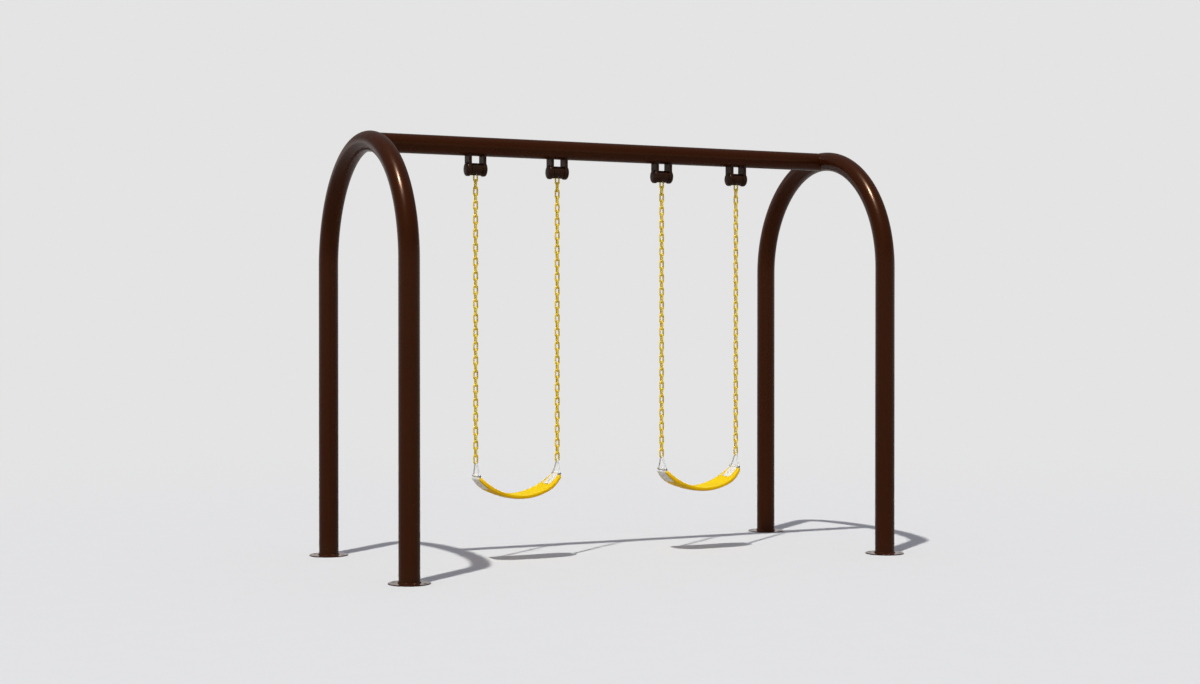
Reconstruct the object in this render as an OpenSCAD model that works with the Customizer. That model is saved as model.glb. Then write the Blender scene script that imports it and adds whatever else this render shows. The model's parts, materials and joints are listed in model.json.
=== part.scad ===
// Two-seat swing set: a pipe beam between two bent-pipe arches, with belt seats on coated chains.
// Millimetres. Origin on the ground, midway between the arches. +X runs along the beam, +Z is up.

/* [Frame] */
// Distance between the planes of the two arches
arch_spacing = 3138; // [2900:1:3600]
// Distance between the two legs of an arch, centre to centre
leg_spacing = 1426; // [1200:1:1700]
// Height of the pipe's centreline at the top of an arch
arch_height = 2490; // [2400:1:2700]
// Outside diameter of the arch pipe
pipe_d = 119.5; // [114.3:0.1:127]
// Wall of the arch pipe
pipe_wall = 4.5; // [3:0.1:6]
// Outside diameter of the beam
beam_d = 114.3; // [108:0.1:114.3]
// Wall of the beam
beam_wall = 4; // [3:0.1:6]
// How far the beam's axis lies below the arch's top centreline
beam_drop = 2.5; // [0:0.1:2.6]

/* [Feet] */
// Diameter of a base plate
plate_d = 238; // [220:1:300]
// Thickness of a base plate
plate_t = 6; // [5:0.5:16]
// Bolt circle of a base plate
anchor_pcd = 190; // [170:1:200]
// Anchor holes in a base plate
anchor_count = 4; // [4:1:8]
// Diameter of an anchor hole
anchor_d = 18; // [14:1:22]

/* [Hangers] */
// Distance between the two chains of a swing
chain_spacing = 537.5; // [500:0.5:600]
// Distance between the middles of the two seats
seat_spacing = 1259.5; // [1200:0.5:1400]
// How far the pair of swings sits off the middle of the beam
swing_shift = 15; // [0:1:40]
// Depth of the hanger axle below the beam's axis
hanger_drop = 135.5; // [134:0.5:160]
// Diameter of a bearing boss
boss_d = 85; // [80:1:96]
// Thickness of a bearing boss
boss_t = 28; // [27:1:30]
// Distance between the two bosses of a hanger, centre to centre
boss_spacing = 99; // [99:1:110]
// Distance between the two lugs of a hanger, centre to centre
lug_spacing = 93; // [90:1:97]
// Width of a lug
lug_w = 77; // [50:1:78]
// Thickness of a lug
lug_t = 18; // [10:1:18]
// Diameter of the barrel between the bosses
barrel_d = 74; // [73:1:78]

/* [Chains] */
// Links in a chain, with its end link: an odd number brings the last one square to the bow
link_count = 41; // [31:2:43]
// Inside length of a link
link_pitch = 42.2; // [41:0.1:43]
// Inside width of a link
link_inner_w = 12.5; // [12:0.5:16]
// Diameter of the coated wire
link_wire_d = 10; // [7:0.1:10.5]

/* [Seats] */
// Radius of the belt's middle surface
belt_r = 344; // [340:1:380]
// Angle from the bottom of the belt to where each of its ends begins to round off
belt_angle = 48.8; // [46:0.1:48.8]
// Thickness of the belt
belt_t = 20; // [12:1:22]
// Width of the belt at its middle
belt_w = 203; // [160:1:220]
// Width of the end plates on the belt's upper face
end_plate_w = 88; // [70:1:92]
// Width of the end plates that cover the belt's lower face and its end
outer_plate_w = 106; // [90:1:110]
// Length of the end plates, up to where the belt's end begins to round off
end_plate_l = 80; // [70:1:100]
// Diameter of the bow's rod
bow_rod_d = 8.5; // [6:0.5:9]

/* [Hidden] */
$fn = 48;

// Colours
coat = [0.22, 0.13, 0.09];
coat_dark = [0.15, 0.09, 0.07];
zinc = [0.72, 0.73, 0.74];
chain_yellow = [0.93, 0.74, 0.16];
belt_yellow = [0.98, 0.82, 0.10];

// Gaps: between parts fixed to each other, and in running fits
seat_gap = 0.1;
run_gap = 0.05;

// Where things are
arch_r = leg_spacing / 2;
bend_z = arch_height - arch_r;
beam_z = arch_height - beam_drop;
axle_z = beam_z - hanger_drop;
left_x = swing_shift - seat_spacing / 2;
right_x = swing_shift + seat_spacing / 2;
half_chain = chain_spacing / 2;
hanger_xs = [left_x - half_chain, left_x + half_chain, right_x - half_chain, right_x + half_chain];

plate_edge_r = 2;

// Joint of beam and arches
spigot_l = 160;
spigot_wall = 5;
spigot_d = beam_d - 2 * beam_wall - 2 * seat_gap;
spigot_bolt_d = 12;
spigot_bolt_pitch = 70;
spigot_bolt_in = 60;
spigot_nut_d = 20.8;
spigot_nut_t = 10;
spigot_inner_r = spigot_d / 2 - spigot_wall;
spigot_nut_z = sqrt(pow(spigot_inner_r, 2) - pow(spigot_nut_d / 2, 2)) - seat_gap - spigot_nut_t;
bolt_head_d = 24;
bolt_head_t = 7;

// Ball bearing, 20 x 47 x 14
axle_d = 20;
bearing_d = 47;
bearing_w = 14;
inner_ring_d = 28;
outer_ring_id = 39;
ball_d = 7.9;
ball_count = 8;
ball_circle_d = (inner_ring_d + outer_ring_id) / 2;
boss_in = boss_spacing / 2 - boss_t / 2;
boss_out = boss_spacing / 2 + boss_t / 2;
bearing_in = boss_in + 5.5;
boss_edge_r = 9;
lug_edge_r = 3;
lip_d = 36;
clip_t = 1.2;
axle_half = bearing_in + bearing_w + 2.5;
cap_d = 62;
cap_t = 5;

// Barrel and the pin that carries the chain
barrel_half = boss_in - 1;
barrel_edge_r = 4;
hub_d = 27;
pin_d = 8;
pin_drop = 29.75;
slot_w = link_wire_d + 4.5;
slot_l = link_inner_w + 2 * link_wire_d + 12;
pin_half = sqrt(pow(barrel_d / 2, 2) - pow(pin_drop + pin_d / 2, 2));

// Chain
wire_r = link_wire_d / 2;
link_gap = 0.15;
link_inner_l = link_pitch + link_gap;
pin_z = axle_z - pin_drop;
chain_top = pin_z + pin_d / 2 + link_gap;
end_link_n = link_count - 1;
tilt_z = chain_top - link_count * link_pitch - link_gap - wire_r;

// Seat: the belt follows one arc about a line along Y
bow_lean = 5;
bow_r = bow_rod_d / 2;
bow_gap = 0.4;
bow_bend_r = wire_r + bow_gap + bow_r;
collar = 0.2;
bow_depth = 74;
foot_y = end_plate_w / 2 + 1.5 + bow_rod_d / 2;
knuckle_w = 70;
foot_d = 15;
bow_bolt_d = 8;
eye_x = half_chain - bow_depth * sin(bow_lean);
eye_z = tilt_z - bow_depth * cos(bow_lean);
eye_r = belt_r - belt_t / 2 + 1.3;
belt_z = eye_z + sqrt(pow(eye_r, 2) - pow(eye_x, 2));
eye_angle = asin(eye_x / eye_r);
plate_gap = 0.05;
face_plate_t = 3;
// Small steps where a round end runs into a flat part
end_step = 0.05;
// How far the outer plate turns round the belt's end, and how far short of the bow bolt the inner one stops
end_turn = 92;
inner_short = 1;
plate_corner_r = 8;
corner_r = 185;
corner_x = 147;
plate_sweep = end_plate_l / belt_r * 180 / PI;
rivet_d = 6.5;
rivet_head_d = 12;
rivet_head_t = 3;
rivet_first = 3.3;
rivet_pitch = 5;
bow_head_d = 13;
bow_head_t = 4;
bow_nut_d = 15;
bow_nut_t = 6.5;

// ---------- building blocks ----------

// Cylinder along X from x0 to x1
module x_rod(d, x0, x1) {
    translate([x0, 0, 0]) rotate([0, 90, 0]) cylinder(d = d, h = x1 - x0);
}

// Cylinder along Y from y0 to y1
module y_rod(d, y0, y1) {
    translate([0, y0, 0]) rotate([-90, 0, 0]) cylinder(d = d, h = y1 - y0);
}

// Square from the origin to [x, y], with its two outer corners, at x, rounded to r
module rounded_end(x, y, r) {
    square([x - r, y]);
    translate([0, r]) square([x, y - 2 * r]);
    for (c = [r, y - r]) translate([x - r, c]) circle(r = r);
}

// Disc along X from x0 to x1, with both of its edges rounded to r
module x_disc(d, x0, x1, r) {
    translate([x0, 0, 0]) rotate([0, 90, 0]) rotate_extrude() rounded_end(d / 2, x1 - x0, r);
}

// Rectangle centred on the origin, with corners rounded to r
module rounded_rectangle(x, y, r) {
    square([x - 2 * r, y], center = true);
    square([x, y - 2 * r], center = true);
    for (sx = [-1, 1], sy = [-1, 1]) translate([sx * (x / 2 - r), sy * (y / 2 - r)]) circle(r = r);
}

// Low domed head of diameter d and height h, standing on z = 0
module round_head(d, h) {
    dome_r = (d * d / 4 + h * h) / (2 * h);
    intersection() {
        cylinder(d = d, h = h);
        translate([0, 0, h - dome_r]) sphere(r = dome_r, $fn = 144);
    }
}

// Children drawn for the positive side, and again mirrored for the negative side
module both_x() {
    children();
    mirror([1, 0, 0]) children();
}

module both_y() {
    children();
    mirror([0, 1, 0]) children();
}

// ---------- frame ----------

// Solid shape that the arch pipe's outside fills, of the given diameter, legs from z0 up
module arch_shape(d, z0) {
    translate([0, 0, bend_z]) rotate([90, 0, 90]) rotate_extrude(angle = 180, $fn = 96)
        translate([arch_r, 0]) circle(d = d);
    both_y() translate([0, arch_r, z0]) cylinder(d = d, h = bend_z - z0);
}

module arch() {
    color(coat) difference() {
        arch_shape(pipe_d, plate_t);
        arch_shape(pipe_d - 2 * pipe_wall, plate_t - 1);
    }
}

module left_arch() translate([-arch_spacing / 2, 0, 0]) arch();
module right_arch() translate([arch_spacing / 2, 0, 0]) arch();

// Where the bolts that hold the beam on its spigots stand, at the back of the beam
module spigot_bolt_axes() {
    both_x() for (i = [0, 1])
        translate([arch_spacing / 2 - pipe_d / 2 - spigot_bolt_in - i * spigot_bolt_pitch, 0, beam_z])
            rotate([-90, 0, 0]) children();
}

// The pipe of an arch's top, with a little room round it, that the beam's end is cut to fit
module cope(gap) {
    both_x() translate([arch_spacing / 2, 0, bend_z]) rotate([90, 0, 90])
        rotate_extrude(angle = 180, $fn = 96) translate([arch_r, 0]) circle(d = pipe_d + 2 * gap);
}

module beam() {
    color(coat) difference() {
        translate([0, 0, beam_z]) x_rod(beam_d, -arch_spacing / 2, arch_spacing / 2);
        translate([0, 0, beam_z]) x_rod(beam_d - 2 * beam_wall, -arch_spacing / 2 - 1, arch_spacing / 2 + 1);
        cope(seat_gap);
        spigot_bolt_axes() cylinder(d = spigot_bolt_d + 1, h = beam_d);
    }
}

module base_plates() {
    color(coat) both_x() both_y() translate([arch_spacing / 2, arch_r, 0]) difference() {
        rotate_extrude($fn = 96) rounded_end(plate_d / 2, plate_t, plate_edge_r);
        for (i = [0 : anchor_count - 1]) rotate([0, 0, (i + 0.5) * 360 / anchor_count])
            translate([anchor_pcd / 2, 0, -1]) cylinder(d = anchor_d, h = plate_t + 2);
    }
}

module beam_spigots() {
    in_x = arch_spacing / 2 - pipe_d / 2 - spigot_l;
    color(zinc) difference() {
        both_x() translate([0, 0, beam_z]) x_rod(spigot_d, in_x, arch_spacing / 2);
        both_x() translate([0, 0, beam_z]) x_rod(spigot_d - 2 * spigot_wall, in_x - 1, arch_spacing / 2 + 1);
        cope(seat_gap);
        spigot_bolt_axes() cylinder(d = spigot_bolt_d + 1, h = beam_d);
    }
}

module spigot_bolts() {
    head_z = beam_d / 2 + 0.5;
    color(coat_dark) spigot_bolt_axes() {
        translate([0, 0, spigot_nut_z - 2]) cylinder(d = spigot_bolt_d, h = head_z + 1 - spigot_nut_z + 2);
        translate([0, 0, head_z]) round_head(bolt_head_d, bolt_head_t);
    }
}

module spigot_nuts() {
    color(zinc) spigot_bolt_axes() translate([0, 0, spigot_nut_z]) difference() {
        cylinder(d = spigot_nut_d, h = spigot_nut_t, $fn = 6);
        translate([0, 0, -1]) cylinder(d = spigot_bolt_d + 2 * run_gap, h = spigot_nut_t + 2);
    }
}

// ---------- hangers ----------

// One lug with its boss, for the +X side of a hanger
module lug() {
    difference() {
        union() {
            translate([lug_spacing / 2, 0, 0]) linear_extrude(hanger_drop)
                rounded_rectangle(lug_t, lug_w, lug_edge_r);
            x_disc(boss_d, boss_in, boss_out, boss_edge_r);
        }
        translate([0, 0, hanger_drop]) x_rod(beam_d + 2 * seat_gap, 0, boss_out + 1);
        x_rod(lip_d, 0, boss_out + 1);
        x_rod(bearing_d + 2 * run_gap, bearing_in - seat_gap, boss_out + 1);
    }
}

module hanger(i) {
    color(coat_dark) translate([hanger_xs[i], 0, axle_z]) both_x() lug();
}

module at_hangers() {
    for (x = hanger_xs) translate([x, 0, axle_z]) children();
}

module bearing_outer_rings() {
    color(zinc) at_hangers() both_x() difference() {
        x_rod(bearing_d, bearing_in, bearing_in + bearing_w);
        x_rod(outer_ring_id, bearing_in - 1, bearing_in + bearing_w + 1);
        ball_track(ball_d + 4 * run_gap);
    }
}

// The groove that the balls run in
module ball_track(d) {
    translate([bearing_in + bearing_w / 2, 0, 0]) rotate([0, 90, 0])
        rotate_extrude($fn = 96) translate([ball_circle_d / 2, 0]) circle(d = d);
}

module bearing_balls() {
    color(zinc) at_hangers() both_x() for (k = [0 : ball_count - 1])
        translate([bearing_in + bearing_w / 2, 0, 0]) rotate([k * 360 / ball_count, 0, 0])
            translate([0, 0, ball_circle_d / 2]) sphere(d = ball_d);
}

// Domed caps pushed into the bosses from outside
module bearing_caps() {
    plug_in = bearing_in + bearing_w + seat_gap;
    color(coat_dark) at_hangers() both_x() difference() {
        union() {
            x_rod(bearing_d, plug_in, boss_out + 1);
            translate([boss_out + seat_gap, 0, 0]) rotate([0, 90, 0]) round_head(cap_d, cap_t);
        }
        x_rod(outer_ring_id, plug_in - 1, boss_out - 1);
    }
}

module axle(i) {
    color(zinc) translate([hanger_xs[i], 0, axle_z]) difference() {
        x_rod(axle_d, -axle_half, axle_half);
        both_x() translate([bearing_in + bearing_w, 0, 0]) difference() {
            x_rod(axle_d + 2, 0, clip_t + seat_gap);
            x_rod(axle_d - 1.2, -1, clip_t + 1);
        }
    }
}

module barrel(i) {
    color(coat_dark) translate([hanger_xs[i], 0, axle_z]) difference() {
        union() {
            x_disc(barrel_d, -barrel_half, barrel_half, barrel_edge_r);
            x_rod(hub_d, -bearing_in + run_gap, bearing_in - run_gap);
        }
        x_rod(axle_d + 2 * run_gap, -bearing_in - 1, bearing_in + 1);
        translate([-slot_l / 2, -slot_w / 2, -barrel_d]) cube([slot_l, slot_w, barrel_d]);
        translate([0, 0, -pin_drop]) y_rod(pin_d + 2 * run_gap, -barrel_d, barrel_d);
    }
}

module inner_rings(i) {
    color(zinc) translate([hanger_xs[i], 0, axle_z]) both_x() difference() {
        x_rod(inner_ring_d, bearing_in, bearing_in + bearing_w - run_gap);
        x_rod(axle_d + 2 * run_gap, bearing_in - 1, bearing_in + bearing_w + 1);
        ball_track(ball_d + 4 * run_gap);
    }
}

// Snap rings in the axle's grooves, open at the top
module axle_clips(i) {
    color(zinc) translate([hanger_xs[i], 0, axle_z]) both_x() translate([bearing_in + bearing_w, 0, 0])
        difference() {
            x_rod(axle_d + 5, run_gap, clip_t);
            x_rod(axle_d - 1, -1, clip_t + 1);
            translate([-1, -3, 0]) cube([clip_t + 3, 6, axle_d]);
        }
}

module chain_pin(i) {
    color(zinc) translate([hanger_xs[i], 0, pin_z]) y_rod(pin_d, -pin_half, pin_half);
}

// ---------- chains ----------

// One link standing in the XZ plane, with the inside of its top end at z = 0
module link() {
    bend_r = link_inner_w / 2 + wire_r;
    side = link_inner_l - link_inner_w;
    translate([0, 0, -link_inner_w / 2]) {
        rotate([90, 0, 0]) rotate_extrude(angle = 180) translate([bend_r, 0]) circle(r = wire_r);
        translate([0, 0, -side]) rotate([-90, 0, 0]) rotate_extrude(angle = 180)
            translate([bend_r, 0]) circle(r = wire_r);
        both_x() translate([bend_r, 0, -side]) cylinder(r = wire_r, h = side);
    }
}

module links(x, first, last) {
    color(chain_yellow) for (n = [first : last])
        translate([x, 0, chain_top - n * link_pitch]) rotate([0, 0, n % 2 == 0 ? 0 : 90]) link();
}

module chain(i) links(hanger_xs[i], 0, end_link_n - 1);
module end_link(i) links(hanger_xs[i], end_link_n, end_link_n);

// ---------- seats ----------

// A part of the belt's arc: from radius r0 to r1, angle a0 to a1 from the bottom towards +X, w wide
module arc_slab(r0, r1, a0, a1, w) {
    translate([0, 0, belt_z]) rotate([90, 0, 0]) rotate([0, 0, a0 - 90])
        rotate_extrude(angle = a1 - a0, $fn = 144) translate([r0, -w / 2]) square([r1 - r0, w]);
}

// Outline of the belt seen from above: straight sides, then an arc to each narrower end
module belt_outline() {
    square([2 * corner_x, belt_w], center = true);
    both_x() intersection() {
        translate([corner_x - 1, -belt_w / 2]) square([belt_r, belt_w]);
        translate([corner_x, corner_r - belt_w / 2]) circle(r = corner_r, $fn = 144);
        translate([corner_x, belt_w / 2 - corner_r]) circle(r = corner_r, $fn = 144);
    }
}

// Radial line through the belt, at an angle from the bottom towards +X
module at_rivets() {
    both_x() for (k = [0, 1]) translate([0, 0, belt_z])
        rotate([0, 180 - (belt_angle - rivet_first - k * rivet_pitch), 0]) children();
}

module rivet_hole() {
    translate([0, 0, belt_r - belt_t]) cylinder(d = rivet_d + 2 * run_gap, h = 2 * belt_t);
}

// Middle of the belt's round end: X leads away from the belt, Z away from the middle of the arc
module at_round_end() {
    translate([0, 0, belt_z]) rotate([0, 180 - belt_angle, 0]) mirror([1, 0, 0])
        translate([0, 0, belt_r]) children();
}

module belt() {
    color(belt_yellow) difference() {
        intersection() {
            union() {
                arc_slab(belt_r - belt_t / 2, belt_r + belt_t / 2, -belt_angle, belt_angle, belt_w + 2);
                both_x() at_round_end() y_rod(belt_t - 2 * end_step, -belt_w / 2, belt_w / 2);
            }
            translate([0, 0, belt_z - 2 * belt_r]) linear_extrude(2 * belt_r) belt_outline();
        }
        at_rivets() rivet_hole();
    }
}

// Slab of the arc from plate_sweep before the belt's round end to angle a1, its first two corners rounded
module end_slab(r0, r1, a1, w) {
    intersection() {
        arc_slab(r0, r1, belt_angle - 2 * plate_sweep, a1, w);
        translate([0, 0, belt_z]) rotate([0, 180 - (3 * belt_angle - plate_sweep) / 2, 0])
            linear_extrude(2 * belt_r)
                rounded_rectangle(2 * belt_r * sin((belt_angle + plate_sweep) / 2), w, plate_corner_r);
    }
}

// Plates on the belt's upper face, each rolled round the bow bolt at its end
module inner_face_plates() {
    r1 = belt_r - belt_t / 2 - plate_gap;
    color(zinc) both_x() difference() {
        union() {
            end_slab(r1 - face_plate_t, r1, eye_angle - inner_short, end_plate_w);
            translate([eye_x, 0, eye_z]) y_rod(foot_d, -knuckle_w / 2, knuckle_w / 2);
        }
        translate([eye_x, 0, eye_z]) y_rod(bow_bolt_d + 2 * run_gap, -end_plate_w, end_plate_w);
        at_rivets() rivet_hole();
    }
}

// Plates on the belt's lower face, each bent up round the belt's end
module outer_face_plates() {
    r0 = belt_r + belt_t / 2 + plate_gap;
    bend_r = belt_t / 2 + plate_gap + end_step;
    color(zinc) both_x() difference() {
        union() {
            end_slab(r0, r0 + face_plate_t, belt_angle, outer_plate_w);
            at_round_end() rotate([90, 0, 0]) rotate_extrude(angle = end_turn, $fn = 96)
                translate([bend_r, -outer_plate_w / 2]) square([face_plate_t - 2 * end_step, outer_plate_w]);
        }
        at_rivets() rivet_hole();
    }
}

module plate_rivets() {
    r0 = belt_r - belt_t / 2 - plate_gap - face_plate_t - 0.4;
    r1 = belt_r + belt_t / 2 + plate_gap + face_plate_t + 0.1;
    color(zinc) at_rivets() {
        translate([0, 0, r0 - 1]) cylinder(d = rivet_d, h = r1 - r0 + 2);
        translate([0, 0, r0]) mirror([0, 0, 1]) round_head(rivet_head_d, rivet_head_t);
        translate([0, 0, r1]) round_head(rivet_head_d, rivet_head_t);
    }
}

// V-shaped bow in the YZ plane, bent over the X axis, with an eye at the foot of each leg.
// A small collar covers the place where each leg leaves the bend.
module bow_shape() {
    reach = norm([foot_y, bow_depth]);
    leg_angle = atan2(foot_y, bow_depth) - asin(bow_bend_r / reach);
    leg_l = sqrt(pow(reach, 2) - pow(bow_bend_r, 2));
    difference() {
        union() {
            rotate([90, 0, 90]) rotate([0, 0, leg_angle]) rotate_extrude(angle = 180 - 2 * leg_angle)
                translate([bow_bend_r, 0]) circle(d = bow_rod_d);
            both_y() {
                translate([0, bow_bend_r * cos(leg_angle), bow_bend_r * sin(leg_angle)])
                    rotate([180 + leg_angle, 0, 0]) {
                        sphere(d = bow_rod_d + 2 * collar);
                        translate([0, 0, 2 * collar]) cylinder(d = bow_rod_d, h = leg_l - 2 * collar);
                    }
                translate([0, 0, -bow_depth]) y_rod(foot_d, foot_y - bow_rod_d / 2, foot_y + bow_rod_d / 2);
            }
        }
        translate([0, 0, -bow_depth]) y_rod(bow_bolt_d + 2 * run_gap, -2 * foot_y, 2 * foot_y);
    }
}

// The bow under chain i, leaning in towards the middle of its seat
module bow(i) {
    side = i % 2 == 0 ? -1 : 1;
    color(zinc) translate([hanger_xs[i], 0, tilt_z]) rotate([0, side * bow_lean, 0]) bow_shape();
}

module bow_bolts() {
    end_y = foot_y + bow_rod_d / 2 + seat_gap;
    color(coat_dark) both_x() translate([eye_x, 0, eye_z]) {
        y_rod(bow_bolt_d, -end_y - 1, end_y + bow_nut_t + 1.5);
        translate([0, -end_y, 0]) rotate([90, 0, 0]) round_head(bow_head_d, bow_head_t);
    }
}

module bow_nuts() {
    start_y = foot_y + bow_rod_d / 2 + seat_gap;
    color(zinc) both_x() translate([eye_x, start_y, eye_z]) rotate([-90, 0, 0]) difference() {
        cylinder(d = bow_nut_d, h = bow_nut_t, $fn = 6);
        translate([0, 0, -1]) cylinder(d = bow_bolt_d + 2 * run_gap, h = bow_nut_t + 2);
    }
}

module at_seat(x) {
    translate([x, 0, 0]) children();
}

left_arch();
right_arch();
beam();
base_plates();
beam_spigots();
spigot_bolts();
spigot_nuts();
hanger(0);  // left_outer_hanger
hanger(1);  // left_inner_hanger
hanger(2);  // right_inner_hanger
hanger(3);  // right_outer_hanger
bearing_outer_rings();
bearing_balls();
bearing_caps();
axle(0);  // left_outer_axle
axle(1);  // left_inner_axle
axle(2);  // right_inner_axle
axle(3);  // right_outer_axle
barrel(0);  // left_outer_barrel
barrel(1);  // left_inner_barrel
barrel(2);  // right_inner_barrel
barrel(3);  // right_outer_barrel
inner_rings(0);  // left_outer_inner_rings
inner_rings(1);  // left_inner_inner_rings
inner_rings(2);  // right_inner_inner_rings
inner_rings(3);  // right_outer_inner_rings
axle_clips(0);  // left_outer_axle_clips
axle_clips(1);  // left_inner_axle_clips
axle_clips(2);  // right_inner_axle_clips
axle_clips(3);  // right_outer_axle_clips
chain_pin(0);  // left_outer_chain_pin
chain_pin(1);  // left_inner_chain_pin
chain_pin(2);  // right_inner_chain_pin
chain_pin(3);  // right_outer_chain_pin
chain(0);  // left_outer_chain
chain(1);  // left_inner_chain
chain(2);  // right_inner_chain
chain(3);  // right_outer_chain
end_link(0);  // left_outer_end_link
end_link(1);  // left_inner_end_link
end_link(2);  // right_inner_end_link
end_link(3);  // right_outer_end_link
at_seat(left_x) belt();  // left_belt
at_seat(right_x) belt();  // right_belt
at_seat(left_x) inner_face_plates();  // left_inner_face_plates
at_seat(right_x) inner_face_plates();  // right_inner_face_plates
at_seat(left_x) outer_face_plates();  // left_outer_face_plates
at_seat(right_x) outer_face_plates();  // right_outer_face_plates
at_seat(left_x) plate_rivets();  // left_plate_rivets
at_seat(right_x) plate_rivets();  // right_plate_rivets
bow(0);  // left_outer_bow
bow(1);  // left_inner_bow
bow(2);  // right_inner_bow
bow(3);  // right_outer_bow
at_seat(left_x) bow_bolts();  // left_bow_bolts
at_seat(right_x) bow_bolts();  // right_bow_bolts
at_seat(left_x) bow_nuts();  // left_bow_nuts
at_seat(right_x) bow_nuts();  // right_bow_nuts
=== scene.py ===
"""Looks of the two-seat swing set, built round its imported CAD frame.

Metres. +X runs along the beam, +Y away from the camera, +Z up, with the origin on the ground.
"""

import json
import math

import bmesh
import bpy
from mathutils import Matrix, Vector

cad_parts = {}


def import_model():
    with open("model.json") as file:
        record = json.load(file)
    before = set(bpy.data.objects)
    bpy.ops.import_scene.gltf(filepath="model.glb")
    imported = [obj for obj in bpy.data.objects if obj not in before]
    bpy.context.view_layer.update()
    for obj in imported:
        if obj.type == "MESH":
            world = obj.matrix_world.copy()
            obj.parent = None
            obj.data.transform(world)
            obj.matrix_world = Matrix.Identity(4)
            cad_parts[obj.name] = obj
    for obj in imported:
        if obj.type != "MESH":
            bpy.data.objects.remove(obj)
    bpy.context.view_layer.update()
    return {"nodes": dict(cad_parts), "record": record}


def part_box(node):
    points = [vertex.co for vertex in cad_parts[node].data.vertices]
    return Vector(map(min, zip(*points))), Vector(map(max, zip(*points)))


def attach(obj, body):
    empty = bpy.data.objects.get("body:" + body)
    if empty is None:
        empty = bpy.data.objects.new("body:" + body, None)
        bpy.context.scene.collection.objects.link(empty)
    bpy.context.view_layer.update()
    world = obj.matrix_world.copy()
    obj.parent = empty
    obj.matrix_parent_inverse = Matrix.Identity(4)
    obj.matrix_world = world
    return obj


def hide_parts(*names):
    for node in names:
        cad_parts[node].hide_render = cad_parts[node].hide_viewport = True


MM = 0.001
X, Y, Z = Vector((1, 0, 0)), Vector((0, 1, 0)), Vector((0, 0, 1))
SWINGS = ("left", "right")
CHAINS = ("left_outer", "left_inner", "right_inner", "right_outer")

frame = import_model()

# Sizes that the frame's boxes don't give
PIPE_WALL = 4.5 * MM
BEAM_WALL = 4 * MM
BEAM_GAP = 0.4 * MM  # between the beam's ends and the arches
PLATE_EDGE = 2 * MM
FOOT_BEAD = 9 * MM
SPIGOT_BOLT_PITCH = 70 * MM
SPIGOT_BOLT_R = 6 * MM
CAP_R = 31 * MM
CAP_T = 5 * MM
CAP_PLUG_R = 23.4 * MM
CAP_PLUG_L = 9 * MM
LUG_T = 18 * MM
LUG_W = 77 * MM
LUG_CORNER = 3 * MM
LUG_OFF = 46.5 * MM  # from a hanger's middle to a lug's
LUG_BEAD = 6.5 * MM
BELT_R = 344 * MM  # to the belt's middle line
BELT_T = 20 * MM
BELT_END = math.radians(48.8)  # where the belt's round end begins
BELT_DISH = 5.5 * MM
CORNER_R = 185 * MM
CORNER_X = 147 * MM  # where the belt starts to narrow
UPPER_PLATE_W = 88 * MM
LOWER_PLATE_W = 106 * MM
END_PLATE_L = 80 * MM
END_PLATE_T = 3 * MM
PLATE_CORNER = 8 * MM
RIVET_HEAD_R = 6 * MM
RIVET_HEAD_T = 3 * MM
RIVETS = (math.radians(3.3), math.radians(8.3))  # before BELT_END
KNUCKLE_W = 70 * MM
KNUCKLE_D = 15 * MM
BOLT_D = 8 * MM
BORE_R = BOLT_D / 2 + 0.06 * MM
BOW_ROD = 8.5 * MM
BOW_GAP = 0.4 * MM  # between a bow and the link it hangs on


# ---------- shapes ----------


def angles(n):
    return [2 * math.pi * k / n for k in range(n)]


def hexagon(angle):
    """Distance from the middle of a hexagon, 1 across its flats' half, to its side."""
    sixth = math.pi / 3
    return 1 / math.cos((angle + sixth / 2) % sixth - sixth / 2)


def smoothstep(x):
    x = min(1.0, max(0.0, x))
    return x * x * (3 - 2 * x)


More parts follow.
